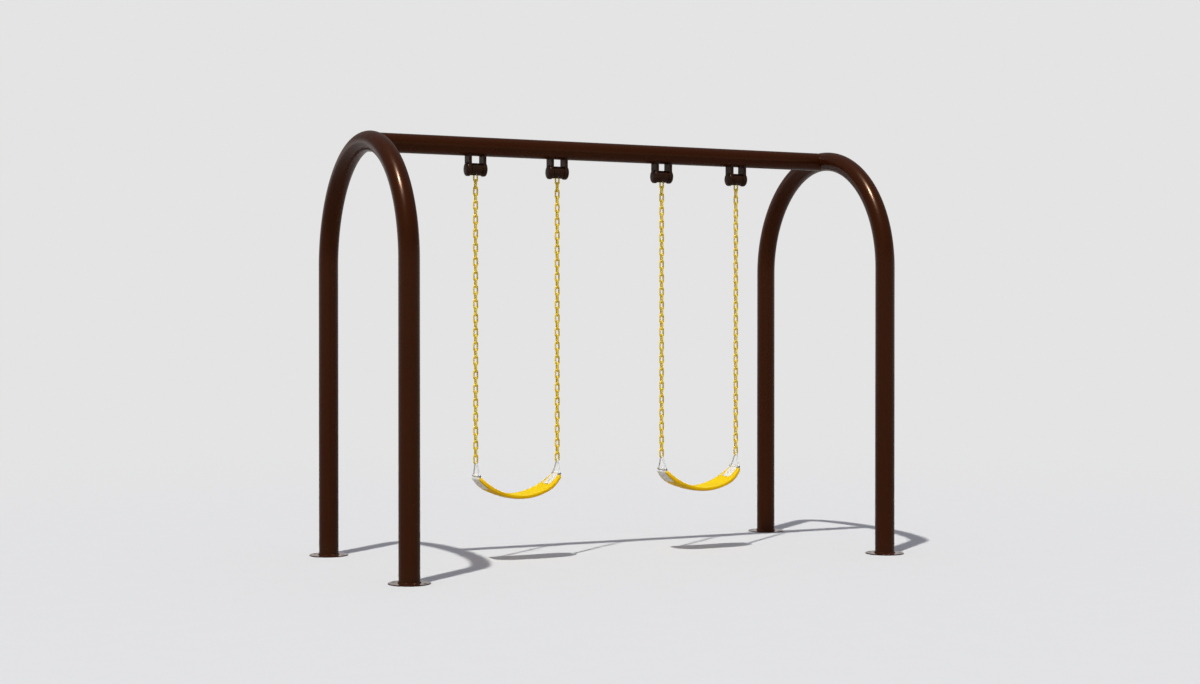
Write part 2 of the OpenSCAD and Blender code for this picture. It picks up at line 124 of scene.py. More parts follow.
class Shape:
    """Closed surfaces gathered into one mesh."""

    def __init__(self):
        self.verts = []
        self.faces = []

    def loft(self, rings, closed=False):
        """Faces from each ring of points to the next, then caps, or faces from the last to the first."""
        n, start, count = len(rings[0]), len(self.verts), len(rings)
        for ring in rings:
            self.verts += ring
        for i in range(count if closed else count - 1):
            a, b = start + i * n, start + (i + 1) % count * n
            self.faces += [(a + k, a + (k + 1) % n, b + (k + 1) % n, b + k) for k in range(n)]
        if not closed:
            self.faces.append(tuple(start + k for k in reversed(range(n))))
            self.faces.append(tuple(start + (count - 1) * n + k for k in range(n)))

    def turn(self, origin, axis, profile, n=48, closed=False):
        """Turned part: profile lists (height along axis, radius), or those and a hexagon's half width."""
        side = axis.orthogonal().normalized()
        other = axis.cross(side).normalized()
        rings = []
        for height, radius, *flats in profile:
            ring = []
            for a in angles(n):
                r = min([radius] + [f * hexagon(a) for f in flats])
                ring.append(origin + axis * height + r * (math.cos(a) * side + math.sin(a) * other))
            rings.append(ring)
        self.loft(rings, closed)

    def sweep(self, path, up, radius, n, closed=False):
        """Round rod along a path. Up is a direction that the path never takes."""
        self.loft(self.rings(path, up, radius, n, closed), closed)

    @staticmethod
    def rings(path, up, radius, n, closed=False):
        rings, last = [], len(path) - 1
        for i, p in enumerate(path):
            ahead = path[(i + 1) % len(path)] if closed or i < last else p
            behind = path[i - 1] if closed or i else p
            side = up.cross(ahead - behind).normalized()
            top = (ahead - behind).cross(side).normalized()
            r = radius(i) if callable(radius) else radius
            rings.append([p + r * (math.cos(a) * side + math.sin(a) * top) for a in angles(n)])
        return rings

    def piece(self, name, material, body, slot, *nodes):
        """Makes the mesh, rides it on a CAD body and lets it stand for CAD nodes."""
        mesh = bpy.data.meshes.new(name)
        mesh.from_pydata(self.verts, [], self.faces)
        made = bmesh.new()
        made.from_mesh(mesh)
        bmesh.ops.recalc_face_normals(made, faces=made.faces)
        made.to_mesh(mesh)
        made.free()
        mesh.polygons.foreach_set("use_smooth", [True] * len(mesh.polygons))
        mesh.set_sharp_from_angle(angle=math.radians(32))
        mesh.materials.append(material)
        obj = bpy.data.objects.new(name, mesh)
        bpy.context.scene.collection.objects.link(obj)
        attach(obj, body)
        if nodes:
            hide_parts(*nodes)
        return obj


def weld_bead(shape, path, up, width):
    """Closed fillet weld with the ripples that the torch leaves."""
    pitch, ripple = 4, 0.16
    shape.sweep(path, up, lambda i: width / 2 * (1 - ripple * (i % pitch) / pitch), 10, closed=True)


# ---------- materials ----------


class Material:
    """A node material under construction. Values may be numbers, tuples or sockets of earlier nodes."""

    def __init__(self, name):
        self.material = bpy.data.materials.new(name)
        self.material.use_nodes = True
        self.tree = self.material.node_tree
        self.tree.nodes.clear()
        self.shader = self.tree.nodes.new("ShaderNodeBsdfPrincipled")
        out = self.tree.nodes.new("ShaderNodeOutputMaterial")
        self.tree.links.new(self.shader.outputs["BSDF"], out.inputs["Surface"])
        self.out = out
        self.place = self.node("ShaderNodeTexCoord").outputs["Object"]

    def fill(self, socket, value):
        if isinstance(value, bpy.types.NodeSocket):
            self.tree.links.new(value, socket)
        else:
            socket.default_value = value

    def node(self, kind, inputs=None, **settings):
        made = self.tree.nodes.new(kind)
        for key, value in settings.items():
            setattr(made, key, value)
        for key, value in (inputs or {}).items():
            self.fill(made.inputs[key], value)
        return made

    def noise(self, scale, detail=2.0, roughness=0.5, stretch=(1, 1, 1)):
        place = self.place
        if stretch != (1, 1, 1):
            place = self.node("ShaderNodeMapping", {"Vector": place, "Scale": stretch}).outputs["Vector"]
        made = self.node(
            "ShaderNodeTexNoise",
            {"Vector": place, "Scale": scale, "Detail": detail, "Roughness": roughness},
        )
        return made.outputs["Fac"]

    def cells(self, scale, output="Distance", feature="F1"):
        made = self.node("ShaderNodeTexVoronoi", {"Vector": self.place, "Scale": scale}, feature=feature)
        return made.outputs[output]

    def ranged(self, value, low, high, to_low=0.0, to_high=1.0):
        made = self.node(
            "ShaderNodeMapRange",
            {"Value": value, "From Min": low, "From Max": high, "To Min": to_low, "To Max": to_high},
        )
        return made.outputs["Result"]

    def math(self, operation, a, b=0.0):
        made = self.node("ShaderNodeMath", {0: a, 1: b}, operation=operation)
        return made.outputs["Value"]

    def mix(self, share, a, b):
        made = self.node("ShaderNodeMix", data_type="RGBA")
        for socket, value in ((made.inputs[0], share), (made.inputs[6], a), (made.inputs[7], b)):
            self.fill(socket, value)
        return made.outputs[2]

    def bump(self, height, depth, distance=1.0, under=None):
        inputs = {"Height": height, "Strength": depth, "Distance": distance}
        if under is not None:
            inputs["Normal"] = under
        return self.node("ShaderNodeBump", inputs).outputs["Normal"]

    def crevice(self, distance):
        """0 in a corner, 1 in the open."""
        made = self.node("ShaderNodeAmbientOcclusion", {"Distance": distance}, samples=8, only_local=False)
        return made.outputs["AO"]

    def edge(self, radius, low=0.03, high=0.25):
        """1 on a sharp edge, 0 on a flat or gently curved face."""
        bevel = self.node("ShaderNodeBevel", {"Radius": radius}, samples=6).outputs["Normal"]
        face = self.node("ShaderNodeNewGeometry").outputs["Normal"]
        apart = self.node("ShaderNodeVectorMath", {0: bevel, 1: face}, operation="DISTANCE")
        return self.ranged(apart.outputs["Value"], low, high)

    def upward(self):
        """1 on a face that looks up, 0 on one that doesn't."""
        face = self.node("ShaderNodeNewGeometry").outputs["Normal"]
        z = self.node("ShaderNodeSeparateXYZ", {0: face}).outputs["Z"]
        return self.ranged(z, 0.35, 1.0)

    def height(self):
        return self.node("ShaderNodeSeparateXYZ", {0: self.place}).outputs["Z"]

    def finish(self, **inputs):
        for key, value in inputs.items():
            self.fill(self.shader.inputs[key.replace("_", " ")], value)
        return self.material


def rgb(r, g, b):
    return (r, g, b, 1.0)


def brown(m):
    """The frame's brown, in faint patches."""
    return m.mix(m.noise(3.0, 3), rgb(0.036, 0.0080, 0.0022), rgb(0.044, 0.0102, 0.0032))


def powder_coat():
    """Satin brown powder coat: fine orange peel, patchy gloss, a little dust above the ground."""
    m = Material("frame_powder_coat")
    colour = brown(m)
    streaks = m.ranged(m.noise(9.0, 4, stretch=(1, 1, 0.12)), 0.55, 0.78, 0, 0.2)
    colour = m.mix(streaks, colour, rgb(0.056, 0.015, 0.006))
    near_ground = m.ranged(m.height(), 0.0, 0.12, 1, 0)
    speckle = m.ranged(m.noise(160, 3), 0.35, 0.7)
    dust = m.math("MULTIPLY", m.math("MULTIPLY", near_ground, speckle), 0.04)
    colour = m.mix(dust, colour, rgb(0.20, 0.165, 0.13))
    rough = m.ranged(m.noise(26, 4), 0.3, 0.7, 0.235, 0.275)
    peel = m.bump(m.noise(320, 2), 0.04, 0.0004)
    return m.finish(
        Base_Color=colour, Roughness=rough, Normal=peel, IOR=1.27, Specular_Tint=rgb(1.0, 0.58, 0.36)
    )


def plate_coat():
    """The frame's coat where it lies flat: it mirrors the bright horizon, and its upward faces carry pale
    grit that also paints in part of their reflection.
    """
    m = Material("plate_powder_coat")
    colour = brown(m)
    # pale on the upward faces: partly grit trodden on, partly a painted reflection of the bright horizon
    grit_and_painted_reflection = m.math("MULTIPLY", m.ranged(m.noise(240, 4, 0.65), 0.5, 0.72), m.upward())
    colour = m.mix(m.math("MULTIPLY", grit_and_painted_reflection, 0.25), colour, rgb(0.20, 0.18, 0.15))
    rough = m.ranged(m.noise(34, 4), 0.3, 0.7, 0.05, 0.09)
    peel = m.bump(m.noise(320, 2), 0.02, 0.0003)
    ior = m.ranged(m.upward(), 0.4, 1.0, 1.2, 1.75)
    return m.finish(Base_Color=colour, Roughness=rough, Normal=peel, IOR=ior)


def cast_coat():
    """Dark coat over cast iron: sand-cast grain, rubbed a little paler on the edges."""
    m = Material("hanger_cast_coat")
    patches = m.noise(18, 4)
    colour = m.mix(patches, rgb(0.023, 0.0085, 0.0040), rgb(0.033, 0.0130, 0.0070))
    rubbed = m.math("MULTIPLY", m.edge(0.0015), m.ranged(m.noise(120, 4), 0.42, 0.62))
    colour = m.mix(m.math("MULTIPLY", rubbed, 0.3), colour, rgb(0.10, 0.070, 0.05))
    rough = m.ranged(m.noise(60, 3), 0.3, 0.7, 0.34, 0.48)
    sand = m.bump(m.noise(650, 4, 0.65), 0.3, 0.0005)
    return m.finish(
        Base_Color=colour, Roughness=rough, Normal=sand, IOR=1.24, Specular_Tint=rgb(1.0, 0.68, 0.50)
    )


def chain_coat():
    """Thick dipped vinyl: soft lumps, painted shade where links touch, scuffs on the outside."""
    m = Material("chain_vinyl")
    tone = m.noise(22, 3)
    colour = m.mix(tone, rgb(0.99, 0.665, 0.030), rgb(1.0, 0.745, 0.045))
    # painted shade: an occlusion mask darkens the links in their crevices, where they touch
    painted_link_shade = m.ranged(m.crevice(0.004), 0.1, 0.6, 0.25, 0)
    colour = m.mix(painted_link_shade, colour, rgb(0.58, 0.34, 0.02))
    scuff = m.ranged(m.noise(420, 5, 0.7), 0.60, 0.72, 0, 0.25)
    colour = m.mix(scuff, colour, rgb(0.78, 0.50, 0.03))
    lumps = m.bump(m.noise(170, 2), 0.4, 0.0008)
    pores = m.bump(m.noise(1400, 2), 0.12, 0.0003, lumps)
    rough = m.ranged(m.noise(90, 3), 0.3, 0.7, 0.26, 0.42)
    return m.finish(
        Base_Color=colour, Roughness=rough, Normal=pores, IOR=1.4,
        Specular_Tint=rgb(1.0, 0.85, 0.45),
        Subsurface_Weight=0.3, Subsurface_Radius=(0.005, 0.0035, 0.0005),
    )


def belt_coat():
    """Moulded yellow rubber: leathery grain, flow marks, sitting wear; painted lighter where it faces up and
    painted shade in its crevices.
    """
    m = Material("belt_rubber")
    flow = m.noise(7, 4, stretch=(0.6, 2.0, 1))
    # painted light and shade: a lit yellow for faces that look up, a shaded yellow for the sides and
    # underside
    painted_shade_yellow = m.mix(flow, rgb(0.93, 0.52, 0.003), rgb(0.98, 0.58, 0.005))
    painted_lit_yellow = m.mix(flow, rgb(0.98, 0.67, 0.005), rgb(1.0, 0.74, 0.008))
    colour = m.mix(m.upward(), painted_shade_yellow, painted_lit_yellow)
    # painted shade: an occlusion mask darkens the rubber in crevices and where it meets the plates
    painted_crevice_shade = m.ranged(m.crevice(0.008), 0.3, 0.95, 0.45, 0)
    colour = m.mix(painted_crevice_shade, colour, rgb(0.38, 0.21, 0.02))
    rubbed = m.ranged(m.noise(75, 6, 0.68), 0.60, 0.78, 0, 0.16)
    colour = m.mix(rubbed, colour, rgb(0.70, 0.42, 0.03))
    pebbles = m.cells(480, feature="SMOOTH_F1")
    grain = m.bump(pebbles, 0.35, 0.0005)
    fine = m.bump(m.noise(2200, 3), 0.15, 0.0002, grain)
    rough = m.ranged(m.noise(40, 4), 0.3, 0.7, 0.42, 0.58)
    return m.finish(
        Base_Color=colour, Roughness=rough, Normal=fine, IOR=1.16, Specular_Tint=rgb(1.0, 0.8, 0.3)
    )


def galvanised():
    """Zinc-dipped sheet, weathered pale, with faint spangles and bloom at the edges."""
    m = Material("end_plate_zinc")
    spangle = m.cells(150, "Color")
    shade = m.node("ShaderNodeSeparateColor", {0: spangle}).outputs[0]
    colour = m.mix(shade, rgb(0.89, 0.87, 0.79), rgb(0.95, 0.93, 0.85))
    bloom = m.math("MULTIPLY", m.edge(0.002), m.noise(90, 4))
    colour = m.mix(m.math("MULTIPLY", bloom, 0.7), colour, rgb(0.90, 0.89, 0.84))
    stain = m.ranged(m.noise(30, 5, 0.6), 0.60, 0.80, 0, 0.12)
    colour = m.mix(stain, colour, rgb(0.50, 0.46, 0.38))
    rough = m.ranged(shade, 0, 1, 0.40, 0.55)
    skin = m.bump(m.noise(300, 4), 0.2, 0.0004)
    return m.finish(Base_Color=colour, Roughness=rough, Metallic=0.1, Normal=skin, IOR=1.4)


def plated(name, dark, light, rough_low, rough_high, scale=240, metal=1.0):
    """Plated or turned steel with fine tool marks and a slightly uneven tint."""
    m = Material(name)
    tint = m.noise(70, 4)
    colour = m.mix(tint, dark, light)
    worn = m.math("MULTIPLY", m.edge(0.0006), m.noise(200, 3))
    colour = m.mix(m.math("MULTIPLY", worn, 0.5), colour, rgb(0.72, 0.71, 0.69))
    rough = m.ranged(m.noise(120, 5), 0.3, 0.7, rough_low, rough_high)
    marks = m.bump(m.noise(scale, 5, 0.7), 0.12, 0.0003)
    return m.finish(Base_Color=colour, Roughness=rough, Metallic=metal, Normal=marks)


COAT = powder_coat()
PLATE = plate_coat()
CAST = cast_coat()
VINYL = chain_coat()
RUBBER = belt_coat()
ZINC_SHEET = galvanised()
WIRE = plated("bow_zinc_wire", rgb(0.64, 0.64, 0.61), rgb(0.76, 0.76, 0.73), 0.40, 0.52, metal=0.12)
BOLT = plated("bolt_dark_steel", rgb(0.13, 0.122, 0.11), rgb(0.19, 0.18, 0.165), 0.34, 0.5, metal=0.6)
STEEL = plated("bearing_ground_steel", rgb(0.55, 0.56, 0.57), rgb(0.66, 0.66, 0.67), 0.12, 0.22, 700)
RIVET = plated("rivet_zinc", rgb(0.50, 0.49, 0.45), rgb(0.62, 0.61, 0.56), 0.35, 0.5, metal=0.4)
ZINC = plated("fastener_zinc", rgb(0.50, 0.51, 0.53), rgb(0.62, 0.61, 0.57), 0.25, 0.4)

# ---------- places, worked out from the frame ----------

arch_lo, arch_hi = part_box("right_arch")
beam_lo, beam_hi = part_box("beam")
plates_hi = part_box("base_plates")[1]
link_lo, link_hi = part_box("right_outer_end_link")
hanger_lo, hanger_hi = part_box("right_outer_hanger")

arch_x = (arch_lo.x + arch_hi.x) / 2
pipe_r = (arch_hi.x - arch_lo.x) / 2
arch_r = arch_hi.y - pipe_r
bend_z = arch_hi.z - pipe_r - arch_r
plate_t = plates_hi.z
plate_r = plates_hi.x - arch_x
beam_r = (beam_hi.y - beam_lo.y) / 2
beam_z = (beam_hi.z + beam_lo.z) / 2
boss_r = (hanger_hi.y - hanger_lo.y) / 2
axle_z = hanger_lo.z + boss_r
wire_r = (link_hi.y - link_lo.y) / 2
chain_x = {c: sum(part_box(c + "_end_link")[k].x for k in (0, 1)) / 2 for c in CHAINS}
seat_x = {s: (chain_x[s + "_outer"] + chain_x[s + "_inner"]) / 2 for s in SWINGS}


def arc(n, start, end):
    return [start + (end - start) * k / n for k in range(n + 1)]


# ---------- frame ----------


def arch_path(x):
    """Up one leg, round the bend and down the other."""
    path = [Vector((x, arch_r, z)) for z in arc(6, plate_t, bend_z)]
    path += [
        Vector((x, arch_r * math.cos(a), bend_z + arch_r * math.sin(a)))
        for a in arc(120, 0, math.pi)[1:-1]
    ]
    return path + [Vector((x, -arch_r, z)) for z in arc(6, bend_z, plate_t)]


def arch(name, x):
    shape, path = Shape(), arch_path(x)
    outside = shape.rings(path, X, pipe_r, 72)
    inside = shape.rings(path, X, pipe_r - PIPE_WALL, 72)
    shape.loft(outside + inside[::-1], closed=True)
    shape.piece(name + "_pipe", COAT, "frame", "frame_coat", name)


def cope_x(y, z, gap):
    """Where a point of the beam, going along X, comes to an arch's pipe."""
    off = math.hypot(y, z - bend_z) - arch_r
    return arch_x - math.sqrt(max(0.0, (pipe_r + gap) ** 2 - off**2))


def beam():
    """Pipe with both of its ends cut to the arches' pipes."""
    shape, stations = Shape(), arc(12, -1, 1)

    def rings(radius):
        made = []
        for s in stations:
            ring = []
            for a in angles(144):
                y, z = radius * math.cos(a), beam_z + radius * math.sin(a)
                ring.append(Vector((s * cope_x(y, z, BEAM_GAP), y, z)))
            made.append(ring)
        return made

    shape.loft(rings(beam_r) + rings(beam_r - BEAM_WALL)[::-1], closed=True)
    shape.piece("beam_pipe", COAT, "frame", "frame_coat", "beam")


def ring_path(centre, radius, count):
    return [centre + radius * Vector((math.cos(a), math.sin(a), 0)) for a in angles(count)]


def base_plate(name, x, y, holes):
    """Round plate with rounded edges and its anchor holes, welded to the leg."""
    curve = bpy.data.curves.new(name, "CURVE")
    curve.dimensions = "2D"
    curve.fill_mode = "BOTH"
    curve.bevel_depth = PLATE_EDGE
    curve.bevel_resolution = 3
    curve.extrude = plate_t / 2 - PLATE_EDGE
    outlines = [(Vector((x, y, 0)), plate_r - PLATE_EDGE, 160)]
    outlines += [(centre, radius + PLATE_EDGE, 48) for centre, radius in holes]
    for centre, radius, count in outlines:
        points = ring_path(centre, radius, count)
        spline = curve.splines.new("POLY")
        spline.points.add(count - 1)
        spline.points.foreach_set("co", [v for p in points for v in (p.x, p.y, 0, 1)])
        spline.use_cyclic_u = True
    holder = bpy.data.objects.new(name + "_outline", curve)
    mesh = bpy.data.meshes.new_from_object(holder)
    bpy.data.objects.remove(holder)
    shape = Shape()
    shape.verts = [v.co + Vector((0, 0, plate_t / 2)) for v in mesh.vertices]
    shape.faces = [tuple(p.vertices) for p in mesh.polygons]
    shape.piece(name, PLATE, "frame", "frame_coat", "base_plates")
    bead = Shape()
    weld_bead(bead, ring_path(Vector((x, y, plate_t + 0.5 * MM)), pipe_r + 0.8 * MM, 400), Z, FOOT_BEAD)
    bead.piece(name + "_weld", COAT, "frame", "frame_coat")


for side, name in ((-1, "left_arch"), (1, "right_arch")):
    arch(name, side * arch_x)
beam()

for mount in frame["record"]["mounts"]:
    if mount["kind"] == "bolt_pattern":
        dims, (x, y, _) = mount["dims"], mount["pos_m"]
        holes = []
        for k in range(dims["count"]):
            a = 2 * math.pi * (k + 0.5) / dims["count"]
            out = dims["pcd_mm"] / 2 * MM * Vector((math.cos(a), math.sin(a), 0))
            holes.append((Vector((x, y, 0)) + out, dims["hole_r_mm"] * MM))
        base_plate(mount["name"].replace("anchors", "base_plate"), x, y, holes)


def button_head(shape, origin, axis, radius, height, socket):
    """Domed bolt head with a rounded rim and a hexagon socket."""
    dome = (radius**2 + height**2) / (2 * height)
    profile = [(0, radius * 0.93), (0.06 * height, radius * 0.98)]
    for k in range(9):
        h = height * (0.12 + 0.84 * (k / 8) ** 0.8)
        profile.append((h, math.sqrt(max(dome**2 - (dome - height + h) ** 2, (socket * 1.35) ** 2))))
    profile += [
        (height * 0.97, socket * 1.3),
        (height * 0.97, socket * 1.2, socket * 1.02),
        (height * 0.9, socket * 1.15, socket * 0.96),
        (height * 0.35, socket * 1.15, socket * 0.95),
        (height * 0.30, socket * 0.3),
    ]
    shape.turn(origin, axis, profile, 60)


def spigot_bolts():
    """Bolts through the back of the beam into the spigots in its ends."""
    lo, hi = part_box("spigot_bolts")
    head_r, shape = (hi.z - lo.z) / 2, Shape()
    face, chamfer, socket = beam_r + 0.5 * MM, 0.8 * MM, 4 * MM
    for side in (-1, 1):
        for k in (0, 1):
            seat = Vector((side * (hi.x - head_r - k * SPIGOT_BOLT_PITCH), face, beam_z))
            button_head(shape, seat, Y, head_r, hi.y - face, socket)
            washer = [(-1.5 * MM, head_r * 0.96), (0, head_r * 0.99), (0.3 * MM, head_r * 0.93)]
            shape.turn(seat, Y, washer)
            shank = [(0, SPIGOT_BOLT_R), (face - lo.y - chamfer, SPIGOT_BOLT_R)]
            shape.turn(seat, -Y, shank + [(face - lo.y, SPIGOT_BOLT_R - chamfer)])
    shape.piece("spigot_button_bolts", BOLT, "frame", "dark_bolt", "spigot_bolts")


spigot_bolts()


# ---------- hangers ----------


def hanger_cap(shape, x, side, outer_x):
    """Cap pushed into a boss: flanged, gently domed, with a raised middle."""
    origin, chamfer, step = Vector((x + side * (outer_x - CAP_T), 0, axle_z)), 0.8 * MM, 0.02 * MM
    profile = [(-CAP_PLUG_L, CAP_PLUG_R - chamfer), (chamfer - CAP_PLUG_L, CAP_PLUG_R), (-step, CAP_PLUG_R)]
    profile += [(step, CAP_R - 0.7 * MM), (0.3 * MM, CAP_R - 0.2 * MM), (0.9 * MM, CAP_R)]
    profile += [(1.5 * MM, CAP_R - 0.2 * MM), (1.9 * MM, CAP_R - 0.8 * MM)]
    for k in range(1, 9):
        r = (CAP_R - 1 * MM) * (1 - k / 8.6)
        profile.append((1.9 * MM + (CAP_T - 2.1 * MM) * (1 - (r / CAP_R) ** 2), r))
    shape.turn(origin, side * X, profile, 72)


def lug_weld(x, side):
    """Path round a lug where it meets the beam's underside."""
    half_t, half_w, corner = LUG_T / 2, LUG_W / 2, LUG_CORNER
    middle = x + side * LUG_OFF
    outline = []
    for cx, cy, start in ((1, 1, 0), (-1, 1, 90), (-1, -1, 180), (1, -1, 270)):
        for a in arc(10, math.radians(start), math.radians(start + 90)):
            outline.append(
                (
                    cx * (half_t - corner) + corner * math.cos(a),
                    cy * (half_w - corner) + corner * math.sin(a),
                )
            )
    path, step = [], 0.9 * MM
    for k, (x0, y0) in enumerate(outline):
        x1, y1 = outline[(k + 1) % len(outline)]
        count = max(1, round(math.hypot(x1 - x0, y1 - y0) / step))
        for i in range(count):
            px, py = x0 + (x1 - x0) * i / count, y0 + (y1 - y0) * i / count
            path.append(Vector((middle + px, py, beam_z - math.sqrt(beam_r**2 - py**2) - 0.6 * MM)))
    while len(path) % 4:
        path.pop()
    return path


boss_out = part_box("bearing_caps")[1].x - chain_x["right_outer"]
for chain in CHAINS:
    caps, beads, x = Shape(), Shape(), chain_x[chain]
    for side in (-1, 1):
        hanger_cap(caps, x, side, boss_out)
        weld_bead(beads, lug_weld(x, side), Z, LUG_BEAD)
    caps.piece(chain + "_hanger_caps", CAST, "frame", "hanger_coat", "bearing_caps")
    beads.piece(chain + "_hanger_welds", CAST, "frame", "hanger_coat")

# ---------- chains ----------

inner_w = (link_hi.x - link_lo.x) - 4 * wire_r
inner_l = (link_hi.z - link_lo.z) - 4 * wire_r


def link_path(x, top, turned):
    """Middle line of a link whose inside top is at height top."""
    bend = inner_w / 2 + wire_r
    across = Y if turned else X
    side = inner_l - inner_w
    path = [(bend * math.cos(a), bend * math.sin(a)) for a in arc(16, 0, math.pi)]
    path += [(-bend, -side * k / 8) for k in range(1, 8)]
    for a in arc(16, math.pi, 2 * math.pi):
        path.append((bend * math.cos(a), bend * math.sin(a) - side))
    path += [(bend, -side * (1 - k / 8)) for k in range(1, 8)]
    middle = Vector((x, 0, top - inner_w / 2))
    return [middle + across * u + Z * v for u, v in path]


def link(shape, x, top, turned):
    """A bent and welded link: its wire is a little thicker where the weld is."""
    path = link_path(x, top, turned)
    weld = len(path) * 3 // 4 + 4

    def radius(i):
        return wire_r * (1 + 0.07 * math.exp(-(((i - weld) / 2.0) ** 2)))

    shape.sweep(path, X if turned else Y, radius, 16, closed=True)


for chain in CHAINS:
    x, shape = chain_x[chain], Shape()
    lo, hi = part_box(chain + "_chain")
    end_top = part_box(chain + "_end_link")[1].z - 2 * wire_r
    top = hi.z - 2 * wire_r
    count = round((top - end_top) / inner_l)
    pitch = (top - end_top) / count
    for n in range(count):
        link(shape, x, top - n * pitch, n % 2 == 1)
    shape.piece(chain + "_chain_links", VINYL, chain + "_chain", "chain_coating", chain + "_chain")
    shape = Shape()
    link(shape, x, end_top, count % 2 == 1)
    shape.piece(chain + "_last_link", VINYL, chain + "_end_link", "chain_coating", chain + "_end_link")

# ---------- seats ----------


def bolt_places(swing):
    """X of a seat's two bow bolts, their height, and the radius of their heads."""
    lo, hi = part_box(swing + "_bow_bolts")
    head_r = (hi.z - lo.z) / 2
    return (lo.x + head_r, hi.x - head_r), (hi.z + lo.z) / 2, head_r


class Arc:
    """Places along a seat's arc: angle from the bottom towards +X, distance from the arc's middle line."""

    def __init__(self, swing):
        self.x = seat_x[swing]
        self.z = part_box(swing + "_belt")[0].z + BELT_R + BELT_T / 2

    def point(self, angle, out, y):
        r = BELT_R + out
        return Vector((self.x + r * math.sin(angle), y, self.z - r * math.cos(angle)))


def eased_ends(start, end, step, corner):
    """Stations from start to end, close together near the ends, where corners are rounded."""
    near = [corner * (1 - math.cos(k * math.pi / 2 / 8)) for k in range(8)]
    middle = arc(max(1, round((end - start - 2 * corner) / step)), start + corner, end - corner)
    return [start + d for d in near] + middle + [end - d for d in reversed(near)]


def strip_outline(half_w, half_t, edge, across):
    """Points (y, d) round a strip's section: flat faces and rounded edges."""
    edge = min(edge, half_t * 0.999, half_w * 0.999)
    outline, flat = [], half_w - edge
    for side in (1, -1):
        for k in range(across):
            outline.append((side * (flat - 2 * flat * k / across), side * half_t))
        for a in arc(8, 0, math.pi / 2):
            outline.append((-side * (flat + edge * math.sin(a)), side * (half_t - edge * (1 - math.cos(a)))))
        for a in arc(8, 0, math.pi / 2)[(1 if half_t - edge < 1e-6 else 0):-1]:
            outline.append((-side * (flat + edge * math.cos(a)), -side * (half_t - edge * (1 - math.sin(a)))))
    return outline


def strip_ring(place, angle, out, half_w, half_t, edge, lift=None, across=18):
    """Section of a strip square to the belt. Lift moves a point inwards by its y."""
    outline = strip_outline(half_w, half_t, edge, across)
    return [place.point(angle, out + d - (lift(y) if lift else 0), y) for y, d in outline]


def folded_rings(place, side, half_w, half_t, edge):
    """Sections of a lower plate's last part, which bends up round the belt's round end."""
    bend = BELT_T / 2 + 0.1 * MM + half_t
    middle = place.point(side * BELT_END, 0, 0)
    outward = place.point(side * BELT_END, 1, 0) - middle
    onward = side * outward.cross(Y)
    outline, made = strip_outline(half_w, half_t, edge, 10), []
    for a in arc(16, 0, math.pi / 2):
        normal = outward * math.cos(a) + onward * math.sin(a)
        made.append([middle + normal * (bend + d) + Y * y for y, d in outline])
    return made


def belt_half_width(x, widest):
    past = abs(x) - CORNER_X
    if past <= 0:
        return widest
    return widest - CORNER_R + math.sqrt(CORNER_R**2 - past**2)


def belt(swing):
    """Moulded belt: dished across, with thick rounded rims, and narrower towards its round ends."""
    place, shape = Arc(swing), Shape()
    lo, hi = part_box(swing + "_belt")
    widest, end_edge = (hi.y - lo.y) / 2, BELT_T / 2
    reach = BELT_END * BELT_R + end_edge
    rings = []
    for s in eased_ends(-reach, reach, 6 * MM, end_edge):
        from_end = reach - abs(s)
        inset = 0.0
        if from_end < end_edge:
            inset = end_edge - math.sqrt(max(0, end_edge**2 - (end_edge - from_end) ** 2))
            inset = min(inset, end_edge - 0.8 * MM)
        angle = s / BELT_R
        half_w = belt_half_width(BELT_R * math.sin(angle), widest)
        dish = BELT_DISH * smoothstep((from_end - END_PLATE_L * 0.9) / (140 * MM))

        def lift(y, half_w=half_w, dish=dish):
            return dish * (abs(y) / half_w) ** 2.4

        rings.append(
            strip_ring(place, angle, 0, half_w - inset, BELT_T / 2 - inset, 5 * MM, lift, 26)
        )
    shape.loft(rings)
    shape.piece(swing + "_seat_belt", RUBBER, swing + "_seat", "belt_rubber", swing + "_belt")


def corner_half_width(from_end, half_w):
    if from_end >= PLATE_CORNER:
        return half_w
    return half_w - PLATE_CORNER + math.sqrt(max(0, PLATE_CORNER**2 - (PLATE_CORNER - from_end) ** 2))


